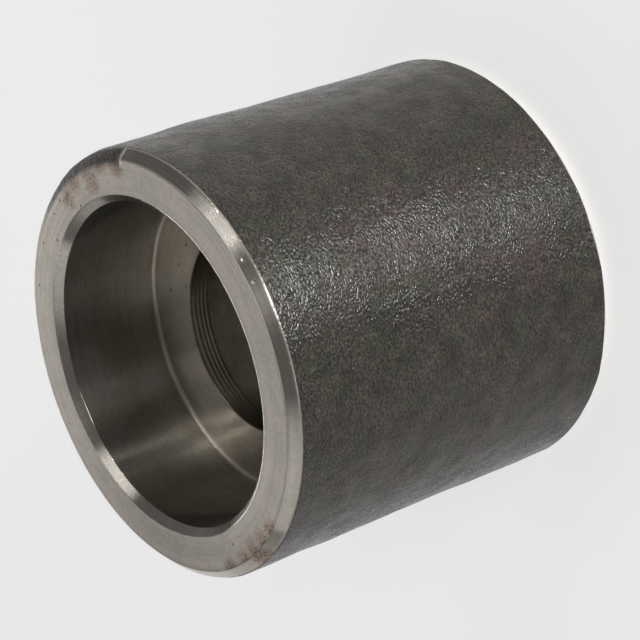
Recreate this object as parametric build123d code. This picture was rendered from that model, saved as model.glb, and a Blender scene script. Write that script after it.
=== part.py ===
from build123d import *
import os

# Socket weld coupling: a short, thick ring of forged steel that joins two pipes in line.
# Each pipe slides into a socket and is fillet welded round the outside of the mouth.
# The forging keeps its skin outside. Ends, sockets and waterway are turned on a lathe.
# Sizes are in millimetres. The axis is Z, and the origin is the centre of the lower end face.

# Sockets, one at each end, for pipe of 33.4 outside diameter
socket_diameter = 34.2
socket_depth = 12.5
socket_wall = 5.5

# Middle, between the two shoulders
laying_length = 17.3
waterway_diameter = 21.4

# Edges as the lathe tool leaves them
corner_chamfer = 1.1
mouth_chamfer = 0.8
tool_nose_radius = 0.5
waterway_edge_break = 0.2

# Sizes that follow from those above
socket_radius = socket_diameter / 2
outer_radius = socket_radius + socket_wall
waterway_radius = waterway_diameter / 2
shoulder_height = laying_length / 2
end_height = shoulder_height + socket_depth


def upper_half_section():
    """Section of the wall from the middle plane up to the upper end face.

    Points are (distance from the axis, height above the middle plane). They run up the waterway,
    over the shoulder, up the socket to its mouth, across the end face and down the outside.
    """
    waterway_middle = (waterway_radius, 0)
    waterway_top = (waterway_radius, shoulder_height - waterway_edge_break)
    shoulder_inner = (waterway_radius + waterway_edge_break, shoulder_height)
    shoulder_outer = (socket_radius - tool_nose_radius, shoulder_height)
    socket_bottom = (socket_radius, shoulder_height + tool_nose_radius)
    socket_top = (socket_radius, end_height - mouth_chamfer)
    mouth_edge = (socket_radius + mouth_chamfer, end_height)
    end_face_edge = (outer_radius - corner_chamfer, end_height)
    outside_top = (outer_radius, end_height - corner_chamfer)
    outside_middle = (outer_radius, 0)

    with BuildSketch(Plane.XZ) as section:
        with BuildLine():
            Polyline(waterway_middle, waterway_top, shoulder_inner, shoulder_outer)
            RadiusArc(shoulder_outer, socket_bottom, -tool_nose_radius)
            Polyline(
                socket_bottom,
                socket_top,
                mouth_edge,
                end_face_edge,
                outside_top,
                outside_middle,
                waterway_middle,
            )
        make_face()
    return section.sketch


def coupling_body():
    """The coupling: the half section and its mirror image below, turned round the axis."""
    upper_half = upper_half_section()
    lower_half = mirror(upper_half, about=Plane.XY)
    whole_section = upper_half + lower_half
    return Pos(0, 0, end_height) * revolve(whole_section, axis=Axis.Z)


os.makedirs("parts", exist_ok=True)
export_step(coupling_body(), "parts/coupling_body.step")
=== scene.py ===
import bpy
import numpy as np
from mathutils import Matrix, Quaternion, Vector


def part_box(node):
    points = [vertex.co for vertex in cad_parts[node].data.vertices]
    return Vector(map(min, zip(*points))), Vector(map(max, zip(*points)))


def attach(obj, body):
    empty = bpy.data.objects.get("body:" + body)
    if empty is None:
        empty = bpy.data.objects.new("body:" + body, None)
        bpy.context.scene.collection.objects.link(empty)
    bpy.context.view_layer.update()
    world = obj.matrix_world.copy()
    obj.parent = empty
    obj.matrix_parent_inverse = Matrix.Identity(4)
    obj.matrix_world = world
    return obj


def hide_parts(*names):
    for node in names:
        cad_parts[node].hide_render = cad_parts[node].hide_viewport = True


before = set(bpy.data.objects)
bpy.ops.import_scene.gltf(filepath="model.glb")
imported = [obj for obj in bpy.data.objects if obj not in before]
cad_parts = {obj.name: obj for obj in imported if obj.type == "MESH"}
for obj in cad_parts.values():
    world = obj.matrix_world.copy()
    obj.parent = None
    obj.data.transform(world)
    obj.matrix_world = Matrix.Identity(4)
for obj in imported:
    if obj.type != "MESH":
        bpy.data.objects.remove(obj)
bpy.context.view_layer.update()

# The coupling's shape.
# One forged ring of carbon steel. The outside keeps the forging's uneven skin, and the two ends, the sockets and
# the waterway are turned on a lathe, so every section through the axis is the same but for what the forging left.

MM = 0.001
lowest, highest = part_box("coupling_body")
HALF_HEIGHT = (highest[2] - lowest[2]) / 2 / MM
OUTER_RADIUS = highest[0] / MM
SOCKET_RADIUS = OUTER_RADIUS - 5.5
SHOULDER_HEIGHT = HALF_HEIGHT - 12.5
WATERWAY_RADIUS = 10.7
CORNER_CHAMFER = 1.1
MOUTH_CHAMFER = 0.8

ROUND_STEPS = 340
GUARD = 0.05

SCALE, FACED, CHAMFERED, BORED, SHOULDERED, DRILLED = range(6)


def turned_profile(corners):
    """The half section as rows of (distance from axis, height, outward normal) with the finish of each row.

    A corner is (r, z, radius, finish of the run that leads to it, length of a cell on that run). Each run is
    straight between the tangent points of its corners' arcs, with a narrow guard cell at each end so that the
    arc's shading stays on the arc. An arc of radius R that turns by t starts R tan(t/2) before its corner.
    """
    places = [np.array(corner[:2]) for corner in corners]
    points, finishes = [places[0][None]], []
    leave = places[0]
    for number in range(1, len(corners)):
        r, z, radius, finish, cell = corners[number]
        before = places[number] - places[number - 1]
        before = before / np.linalg.norm(before)
        arrive, arc = places[number], np.empty((0, 2))
        if radius:
            after = places[number + 1] - places[number]
            after = after / np.linalg.norm(after)
            turn = np.arctan2(before[0] * after[1] - before[1] * after[0], before @ after)
            reach = radius * np.tan(abs(turn) / 2)
            arrive = places[number] - reach * before
            centre = arrive + np.sign(turn) * radius * np.array([-before[1], before[0]])
            steps = max(3, int(abs(turn) * radius / 0.12))
            angles = np.linspace(0, turn, steps + 1)[1:]
            spoke = arrive - centre
            arc = centre + np.stack([
                spoke[0] * np.cos(angles) - spoke[1] * np.sin(angles),
                spoke[0] * np.sin(angles) + spoke[1] * np.cos(angles),
            ], axis=1)
        length = np.linalg.norm(arrive - leave)
        cells = max(1, round((length - 2 * GUARD) / cell))
        along = np.concatenate([[GUARD], np.linspace(GUARD, length - GUARD, cells + 1)[1:], [length]])
        run = leave + along[:, None] * before
        points += [run, arc]
        finishes += [finish] * (len(run) + len(arc))
        leave = arc[-1] if radius else arrive
    return np.concatenate(points), np.array(finishes)


def half_section(fine):
    """Corners of the upper half, from the middle of the waterway over the end to the middle of the outside."""
    return turned_profile([
        (WATERWAY_RADIUS, 0, 0, DRILLED, 1),
        (WATERWAY_RADIUS, SHOULDER_HEIGHT - 2.6, 0, DRILLED, 0.5 * fine),
        (WATERWAY_RADIUS, SHOULDER_HEIGHT, 0.15, DRILLED, 0.1 * fine),
        (SOCKET_RADIUS, SHOULDER_HEIGHT, 0.5, SHOULDERED, 0.35 * fine),
        (SOCKET_RADIUS, HALF_HEIGHT - MOUTH_CHAMFER, 0.12, BORED, 0.6 * fine),
        (SOCKET_RADIUS + MOUTH_CHAMFER, HALF_HEIGHT, 0.12, CHAMFERED, 0.25 * fine),
        (OUTER_RADIUS - CORNER_CHAMFER, HALF_HEIGHT, 0.35, FACED, 0.3 * fine),
        (OUTER_RADIUS, HALF_HEIGHT - CORNER_CHAMFER, 0.15, CHAMFERED, 0.18 * fine),
        (OUTER_RADIUS, 0, 0, SCALE, 0.46),
    ])


upper, upper_finish = half_section(1.0)
lower, lower_finish = half_section(2.2)
lower = lower[::-1] * (1, -1)
profile = np.concatenate([upper, lower[1:-1]])
finish = np.concatenate([upper_finish, lower_finish[::-1]])

bearing = np.linspace(-np.pi, np.pi, ROUND_STEPS, endpoint=False)


def smooth(value, start, end):
    """0 before start, 1 after end, and an S curve between."""
    t = np.clip((value - start) / (end - start), 0, 1)
    return t * t * (3 - 2 * t)


def waves(points, longest, shortest, seed, count=48):
    """Sum of plane waves in random directions, scaled to about one: an uneven field that has no seam."""
    chance = np.random.default_rng(seed)
    directions = chance.normal(size=(count, 3))
    directions /= np.linalg.norm(directions, axis=1, keepdims=True)
    lengths = chance.uniform(shortest, longest, count)
    phases = chance.uniform(0, 2 * np.pi, count)
    field = np.sin(points @ (directions * (2 * np.pi / lengths[:, None])).T + phases)
    return field.sum(axis=-1) * np.sqrt(2 / count)


def ring_surface(profile, bearing):
    """The ring: each row of the profile carried round the axis, then pushed along its normal by what is uneven.

    Bearing 0 faces the camera, which is on the -Y side, and turns towards +X. Heights are from the middle.
    """
    ahead = np.roll(profile, -1, axis=0) - profile
    behind = profile - np.roll(profile, 1, axis=0)
    ahead /= np.linalg.norm(ahead, axis=1, keepdims=True)
    behind /= np.linalg.norm(behind, axis=1, keepdims=True)
    along = ahead + behind
    along /= np.linalg.norm(along, axis=1, keepdims=True)
    normal = np.stack([-along[:, 1], along[:, 0]], axis=1)

    radius = profile[:, :1] + 0 * bearing
    height = profile[:, 1:] + 0 * bearing
    turn = np.degrees(bearing) + 0 * radius
    out, up = np.sin(bearing), -np.cos(bearing)
    spots = np.stack([radius * out, radius * up, height], axis=-1)
    skin = smooth(radius, OUTER_RADIUS - 0.12, OUTER_RADIUS) * (abs(height) < HALF_HEIGHT)

    lumps = 0.010 * waves(spots.reshape(-1, 3), 3.0, 1.2, 11) + 0.045 * waves(spots.reshape(-1, 3), 18, 6, 12)
    push = skin * lumps.reshape(skin.shape)

    depth = SHOULDER_HEIGHT - height
    in_waterway = (radius < WATERWAY_RADIUS + 0.1) & (height > 0)
    for ring_depth in (0.65, 1.2, 1.7, 2.2):
        push -= in_waterway * 0.07 * np.exp(-((depth - ring_depth) / 0.13) ** 2)

    # Where the forging was low the chamfer tool missed it, and the corner keeps its rolled edge.
    missed = smooth(turn, 71.0, 72.6) * (1 - smooth(turn, 108, 130))
    missed *= height > 0
    rolled = 2.1
    over_r = radius - (OUTER_RADIUS - rolled)
    over_z = abs(height) - (HALF_HEIGHT - rolled)
    reach = np.hypot(over_r, over_z)
    cut = np.where((over_r > 0) & (over_z > 0), np.clip(reach - rolled, 0, None), 0) * missed
    reach = np.maximum(reach, 1e-6)

    radius = radius + push * normal[:, :1] - cut * over_r / reach
    height = height + push * normal[:, 1:] - cut * over_z / reach * np.sign(height)
    rim = smooth(radius, OUTER_RADIUS - 2.0, OUTER_RADIUS - 1.2) * missed
    vertices = np.stack([radius * out, radius * up, height + HALF_HEIGHT], axis=-1)
    return vertices, np.maximum(skin, rim)


vertices, scale_left = ring_surface(profile, bearing)
rows, columns = vertices.shape[:2]
row = np.arange(rows)[:, None]
column = np.arange(columns)[None]
next_row = (row + 1) % rows
next_column = (column + 1) % columns
quads = np.stack([
    row * columns + column,
    row * columns + next_column,
    next_row * columns + next_column,
    next_row * columns + column,
], axis=-1).reshape(-1, 4)

mesh = bpy.data.meshes.new("coupling")
mesh.from_pydata(vertices.reshape(-1, 3) * MM, [], quads)
mesh.polygons.foreach_set("use_smooth", np.ones(len(quads), dtype=bool))
mesh.polygons.foreach_set("material_index", np.repeat(finish, columns).astype(np.int32))
left = mesh.attributes.new("scale_left", "FLOAT", "POINT")
left.data.foreach_set("value", scale_left.reshape(-1).astype(np.float32))
mesh.update()
coupling = bpy.data.objects.new("coupling", mesh)
bpy.context.scene.collection.objects.link(coupling)


def linear(hex_colour):
    """An sRGB hex colour as linear RGBA."""
    channels = np.array([int(hex_colour[i:i + 2], 16) for i in (1, 3, 5)]) / 255
    channels = np.where(channels <= 0.04045, channels / 12.92, ((channels + 0.055) / 1.055) ** 2.4)
    return (*channels, 1.0)


def node(tree, kind, inputs=None, output=0, **settings):
    """Adds a node with its settings, sets its inputs to values or links them, and returns one of its outputs."""
    made = tree.nodes.new("ShaderNode" + kind)
    for name, value in settings.items():
        setattr(made, name, value)
    for name, value in (inputs or {}).items():
        if isinstance(value, bpy.types.NodeSocket):
            tree.links.new(value, made.inputs[name])
        else:
            made.inputs[name].default_value = value
    return made.outputs[output] if made.outputs else made


def new_tree(mesh, name):
    """A material with an empty node tree, in the mesh's next slot."""
    material = bpy.data.materials.new(name)
    material.use_nodes = True
    material.node_tree.nodes.clear()
    mesh.materials.append(material)
    return material.node_tree


def place_on_coupling(tree):
    """A point's place from the coupling's middle, its direction from the axis, and the lathe tool's travel.

    All are in millimetres. The travel is the distance from the axis less the height, so that it keeps one value
    round each ring that the tool cut, and grows along the bores and outwards over the faces.
    """
    place = node(tree, "TexCoord", output="Object")
    place = node(tree, "VectorMath", {0: place, "Scale": 1 / MM}, operation="SCALE")
    centred = node(tree, "VectorMath", {0: place, 1: (0, 0, HALF_HEIGHT)}, operation="SUBTRACT")
    flat = node(tree, "VectorMath", {0: centred, 1: (1, 1, 0)}, operation="MULTIPLY")
    radius = node(tree, "VectorMath", {0: flat}, output="Value", operation="LENGTH")
    height = node(tree, "Math", {0: node(tree, "SeparateXYZ", {0: centred}, output="Z")}, operation="ABSOLUTE")
    travel = node(tree, "Math", {0: radius, 1: height}, operation="SUBTRACT")
    outward = node(tree, "VectorMath", {0: flat}, operation="NORMALIZE")
    return centred, outward, travel


def on_lathe(tree, outward, travel, round_length, pitch):
    """Coordinates for a pattern that is drawn out round the axis: one unit is round_length round the outside
    and one pitch of the tool's travel."""
    around = node(tree, "VectorMath", {0: outward, "Scale": OUTER_RADIUS / round_length}, operation="SCALE")
    along = node(tree, "Math", {0: travel, 1: 1 / pitch}, operation="MULTIPLY")
    along = node(tree, "CombineXYZ", {"Z": along})
    return node(tree, "VectorMath", {0: around, 1: along}, operation="ADD")


def upper_place(turn, radius, height=HALF_HEIGHT):
    """The point at a bearing in degrees, a distance from the axis and a height from the middle."""
    return radius * np.sin(np.radians(turn)), -radius * np.cos(np.radians(turn)), height


def marks(tree, place, spots, softness):
    """One inside any of the spots (place and size), falling to nothing over the softness beyond its edge."""
    nearest = None
    for spot, size in spots:
        away = node(tree, "VectorMath", {0: place, 1: spot}, output="Value", operation="DISTANCE")
        away = node(tree, "Math", {0: away, 1: size}, operation="SUBTRACT")
        nearest = away if nearest is None else node(tree, "Math", {0: nearest, 1: away}, operation="MINIMUM")
    return node(tree, "MapRange", {0: nearest, 1: 0.0, 2: softness, 3: 1.0, 4: 0.0}, interpolation_type="SMOOTHSTEP")


def forged_scale(tree, centred):
    """The colour, the roughness and the height in millimetres of the forging's scale.

    The colour drifts from olive to purple brown over a few millimetres. Fine grit is smooth in its hollows and
    rough on its tips; its colour is darkened in the hollows as painted shade and lightened on the tips as
    painted glints. It is coarser in some places than in others.
    """
    patches = node(tree, "TexNoise", {"Vector": centred, "Scale": 1 / 4.0, "Detail": 3.0, "Roughness": 0.6})
    amount = node(tree, "MapRange", {0: patches, 1: 0.36, 2: 0.64})
    colour = node(tree, "MixRGB", {0: amount, 1: linear("#1f1f17"), 2: linear("#27201d")})
    grit = node(tree, "VectorMath", {0: centred, 1: (1 / 0.29, 1 / 0.29, 1 / 0.19)}, operation="MULTIPLY")
    grit = node(tree, "TexNoise", {"Vector": grit, "Scale": 1.0, "Detail": 0.4})
    worn = node(tree, "TexNoise", {"Vector": centred, "Scale": 1 / 2.6, "Detail": 3.0, "Roughness": 0.65})
    depth = node(tree, "MapRange", {0: worn, 1: 0.34, 2: 0.66, 3: 0.03, 4: 0.145})
    height = node(tree, "Math", {0: grit, 1: depth}, operation="MULTIPLY")
    # Painted glints and painted shade: the scale's colour is lightened up to 1.9 times on the grit's tips and darkened
    # to 0.4 times in its hollows.
    light = node(tree, "MapRange", {0: grit, 1: 0.35, 2: 0.7, 3: 0.4, 4: 1.9})
    cloud = node(tree, "MapRange", {0: worn, 1: 0.34, 2: 0.66, 3: 1.35, 4: 0.65})
    light = node(tree, "Math", {0: light, 1: cloud}, operation="MULTIPLY")
    colour = node(tree, "VectorMath", {0: colour, "Scale": light}, operation="SCALE")
    tips = node(tree, "Math", {0: worn, 1: 0.5, 2: grit}, operation="MULTIPLY_ADD")
    rough = node(tree, "MapRange", {0: tips, 1: 0.6, 2: 0.9, 3: 0.22, 4: 0.38})
    return colour, rough, height


# The forged skin is iron oxide scale over steel. It is dark, and its fine grit glints where the light grazes it.
tree = new_tree(mesh, "forged iron scale")
centred, outward, travel = place_on_coupling(tree)
colour, rough, height = forged_scale(tree, centred)
node(tree, "OutputMaterial", {"Surface": node(tree, "BsdfPrincipled", {
    "Base Color": colour,
    "Roughness": rough,
    "IOR": 1.42,
    "Anisotropic": 0.72,
    "Anisotropic Rotation": 0.25,
    "Normal": node(tree, "Bump", {"Height": height, "Distance": MM, "Strength": 1.0}),
})})


def turned_steel(name, colours, roughness, anisotropic, pitch, depth, scratch, pits, rust_spots, mottle=0.1):
    """Bare carbon steel cut on a lathe: bright rings of one pitch and depth, pits, and rust that has begun."""
    tree = new_tree(mesh, name)
    centred, outward, travel = place_on_coupling(tree)
    rings = on_lathe(tree, outward, travel, 30, pitch)
    rings = node(tree, "TexNoise", {"Vector": rings, "Scale": 1.0, "Detail": 1.0})
    chatter = on_lathe(tree, outward, travel, 0.7, 0.25)
    chatter = node(tree, "TexNoise", {"Vector": chatter, "Scale": 1.0, "Detail": 2.0})
    ring_height = node(tree, "Math", {0: rings, 1: depth}, operation="MULTIPLY")
    height = node(tree, "Math", {0: chatter, 1: scratch, 2: ring_height}, operation="MULTIPLY_ADD")

    stains = node(tree, "TexNoise", {"Vector": centred, "Scale": 1 / 3.0, "Detail": 4.0, "Roughness": 0.6})
    amount = node(tree, "MapRange", {0: stains, 1: 0.35, 2: 0.65})
    colour = node(tree, "MixRGB", {0: amount, 1: linear(colours[0]), 2: linear(colours[1])})
    fine = node(tree, "TexNoise", {"Vector": centred, "Scale": 1 / 0.5, "Detail": 2.0, "Roughness": 0.7})
    fine = node(tree, "Math", {0: fine, 1: rings}, operation="ADD")
    fine = node(tree, "MapRange", {0: fine, 1: 0.75, 2: 1.25, 3: 1 - mottle, 4: 1 + mottle})
    colour = node(tree, "VectorMath", {0: colour, "Scale": fine}, operation="SCALE")

    wander = node(tree, "TexNoise", {"Vector": centred, "Scale": 1 / 0.35, "Detail": 3.0}, output="Color")
    wander = node(tree, "VectorMath", {0: wander, 1: (0.5, 0.5, 0.5)}, operation="SUBTRACT")
    ragged = node(tree, "VectorMath", {0: wander, 1: (0.5, 0.5, 0.5), 2: centred}, operation="MULTIPLY_ADD")

    left = node(tree, "Attribute", output="Fac", attribute_name="scale_left")
    # The forging's scale colour, with its painted shade in the grit's hollows and painted glints on its tips, shows
    # where the skin is left.
    scale_colour, scale_rough, scale_height = forged_scale(tree, centred)
    bare = node(tree, "Math", {0: 1.0, 1: left}, operation="SUBTRACT")
    if rust_spots:
        near = marks(tree, centred, rust_spots, 2.2)
        stain = node(tree, "Math", {0: near, 1: stains}, operation="MULTIPLY")
        stain = node(tree, "MapRange", {0: stain, 1: 0.12, 2: 0.6, 3: 0.0, 4: 0.75})
        colour = node(tree, "MixRGB", {0: stain, 1: colour, 2: linear("#86664e")})
        speckle = node(tree, "TexNoise", {"Vector": centred, "Scale": 1 / 0.26, "Detail": 2.0, "Roughness": 0.6})
        rust = node(tree, "Math", {0: near, 1: 0.2, 2: speckle}, operation="MULTIPLY_ADD")
        rust = node(tree, "MapRange", {0: rust, 1: 0.72, 2: 0.8, 3: 0.0, 4: 0.85})
        colour = node(tree, "MixRGB", {0: rust, 1: colour, 2: linear("#3d2416")})
        clean = node(tree, "Math", {0: 1.0, 1: rust}, operation="SUBTRACT")
        bare = node(tree, "Math", {0: bare, 1: clean}, operation="MULTIPLY")
    if pits:
        hole = marks(tree, ragged, pits, 0.12)
        colour = node(tree, "MixRGB", {0: hole, 1: colour, 2: linear("#3a2e26")})
        solid = node(tree, "Math", {0: 1.0, 1: hole}, operation="SUBTRACT")
        bare = node(tree, "Math", {0: bare, 1: solid}, operation="MULTIPLY")
        height = node(tree, "Math", {0: hole, 1: -0.12, 2: height}, operation="MULTIPLY_ADD")
    colour = node(tree, "MixRGB", {0: left, 1: colour, 2: scale_colour})
    scale_height = node(tree, "Math", {0: scale_height, 1: left}, operation="MULTIPLY")
    height = node(tree, "Math", {0: height, 1: scale_height}, operation="ADD")
    shine = node(tree, "MapRange", {0: bare, 1: 0.0, 2: 1.0, 3: 0.5, 4: roughness})
    node(tree, "OutputMaterial", {"Surface": node(tree, "BsdfPrincipled", {
        "Base Color": colour,
        "Metallic": bare,
        "Roughness": shine,
        "Anisotropic": anisotropic,
        "Anisotropic Rotation": 0.25,
        "Normal": node(tree, "Bump", {"Height": height, "Distance": MM, "Strength": 1.0}),
    })})


FACE_PITS = [
    (108.7, 20.5), (104.1, 19.0), (99.3, 18.2), (114.8, 20.2), (121.5, 18.5), (128, 17.6), (128, 20.5), (143.3, 20.5),
    (-80.2, 19.5),
]
FACE_RUST = [
    (74, 21.0), (82, 21.2), (90, 21.2), (98, 20.8), (104, 20.0), (88, 19.6), (-60, 21.6), (-66, 21.4), (-72, 21.2),
    (-78, 21.4), (-86, 21.8),
]
SHOULDER_PITS = [(119.3, 12.8), (133.0, 13.0), (149.0, 14.1), (141.8, 11.4)]
CHAMFER_PITS = [(12, 22.0), (15, 22.3), (18, 22.1)]

turned_steel(
    "faced carbon steel", ("#b5aca2", "#a9a59d"), roughness=0.5, anisotropic=0.5, pitch=0.3, depth=0.004, scratch=0.004,
    pits=[(upper_place(turn, radius), 0.1) for turn, radius in FACE_PITS],
    rust_spots=[(upper_place(turn, radius), 0.2) for turn, radius in FACE_RUST],
)
turned_steel(
    "chamfered carbon steel", ("#b9b2a8", "#b0aca3"), roughness=0.2, anisotropic=0.9, pitch=0.2, depth=0.004,
    scratch=0.0015,
    pits=[(upper_place(turn, radius, HALF_HEIGHT - 0.5), 0.1) for turn, radius in CHAMFER_PITS],
    rust_spots=[(upper_place(-72, 22, HALF_HEIGHT - 0.5), 0.5)],
)
turned_steel(
    "bored carbon steel", ("#a6a49d", "#9f9b93"), roughness=0.25, anisotropic=1.0, pitch=0.2, depth=0.02,
    scratch=0.001, pits=[], rust_spots=[],
)
turned_steel(
    "shoulder carbon steel", ("#b9b2a6", "#b3aa9c"), roughness=0.36, anisotropic=0.8, pitch=0.35, depth=0.006,
    scratch=0.0015,
    pits=[(upper_place(turn, radius, SHOULDER_HEIGHT), 0.08) for turn, radius in SHOULDER_PITS], rust_spots=[],
)
# The drilled waterway's colours are darker than the other cut steel: painted shade for the deep, narrow bore.
turned_steel(
    "drilled carbon steel with painted shade", ("#7b7568", "#6a6558"), roughness=0.4, anisotropic=0.8, pitch=0.3, depth=0.006,
    scratch=0.002, pits=[], rust_spots=[],
)

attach(coupling, "root")
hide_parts("coupling_body")

# The floor.
# A plain pale table top that the coupling stands on.

floor_mesh = bpy.data.meshes.new("floor")
FLOOR_SIDE = 3.0
corner = FLOOR_SIDE / 2
floor_mesh.from_pydata([(-corner, -corner, 0), (corner, -corner, 0), (corner, corner, 0), (-corner, corner, 0)], [], [(0, 1, 2, 3)])
floor = bpy.data.objects.new("floor", floor_mesh)
bpy.context.scene.collection.objects.link(floor)
tree = new_tree(floor_mesh, "pale table top")
paint = node(tree, "BsdfPrincipled", {"Base Color": linear("#f6f6f4"), "Roughness": 0.9})
seen = node(tree, "LightPath", output="Is Camera Ray")
mirrored = node(tree, "LightPath", output="Is Glossy Ray")
through = node(tree, "LightPath", output="Is Transmission Ray")
shown = node(tree, "Math", {0: seen, 1: mirrored}, operation="MAXIMUM")
shown = node(tree, "Math", {0: shown, 1: through}, operation="MAXIMUM")
white = node(tree, "Math", {0: shown, 1: 0.62}, operation="MULTIPLY")
backdrop = node(tree, "Emission", {"Color": linear("#ffffff"), "Strength": 1.0})
node(tree, "OutputMaterial", {"Surface": node(tree, "MixShader", {0: white, 1: paint, 2: backdrop})})

# The light.
# Soft panels and two bare lamps round the object, and a dim room.


def lamp(name, turn, rise, distance, width, height, radiance):
    """A lamp that faces the coupling from a bearing and an elevation in degrees.

    Its power is its radiance times its area times pi, so that its brightness doesn't hang on its size.
    """
    data = bpy.data.lights.new(name, "AREA")
    data.shape = "RECTANGLE"
    data.size = width
    data.size_y = height
    data.energy = radiance * width * height * np.pi
    made = bpy.data.objects.new(name, data)
    turn, rise = np.radians(turn), np.radians(rise)
    away = Vector((np.sin(turn) * np.cos(rise), -np.cos(turn) * np.cos(rise), np.sin(rise)))
    made.location = Vector((0, 0, HALF_HEIGHT * MM)) + distance * away
    made.rotation_mode = "QUATERNION"
    made.rotation_quaternion = away.to_track_quat("Z", "Y")
    bpy.context.scene.collection.objects.link(made)


lamp("front strip", 14, 1.5, 0.9, 0.24, 0.045, 400)
lamp("front lamp", 8, 19, 0.9, 0.3, 0.08, 6)
lamp("bare lamp one", 49.6, 19, 0.6, 0.018, 0.03, 110)
lamp("bare lamp two", 65, 28, 0.6, 0.03, 0.04, 30)
lamp("bare lamp three", 49.6, 36, 0.6, 0.02, 0.03, 28)
lamp("right panel", 74, 50, 0.9, 0.45, 0.28, 1.45)
lamp("back lamp", -140, 50, 0.9, 0.2, 0.28, 2.5)
lamp("top right lamp", 130, 72, 0.9, 0.23, 0.28, 2.2)
lamp("top left lamp", -135, 72, 0.9, 0.23, 0.28, 1.8)
lamp("back right panel", 157, 32, 0.9, 0.25, 0.28, 1)
lamp("back low panel", 175, 10, 0.9, 0.35, 0.28, 6)
lamp("left back low panel", -128, 9, 0.9, 0.9, 0.28, 0.4)
lamp("left panel", -82, 34, 0.9, 1.0, 0.6, 0.56)

world = bpy.data.worlds.new("dim room")
bpy.context.scene.world = world
world.use_nodes = True
world.node_tree.nodes.clear()
room = node(world.node_tree, "Background", {"Color": linear("#ffffff"), "Strength": 0.16})
node(world.node_tree, "OutputWorld", {"Surface": room})

# The camera.
# It looks down into the upper socket, rolled so that the coupling leans as it does in the photograph.

CAMERA_PLACE = Vector((0, -218.5, 173.7)) * MM
CAMERA_AIM = Vector((-1.0, 0, 21.1)) * MM
CAMERA_ROLL = -109.4
camera_data = bpy.data.cameras.new("camera")
camera_data.lens = 142.5
camera_data.clip_start = 0.01
camera_data.clip_end = 20
camera = bpy.data.objects.new("camera", camera_data)
camera.location = CAMERA_PLACE
level = (CAMERA_AIM - CAMERA_PLACE).to_track_quat("-Z", "Y")
camera.rotation_mode = "QUATERNION"
camera.rotation_quaternion = level @ Quaternion((0, 0, 1), np.radians(CAMERA_ROLL))
bpy.context.scene.collection.objects.link(camera)
bpy.context.scene.camera = camera
bpy.context.scene.view_settings.view_transform = "Standard"
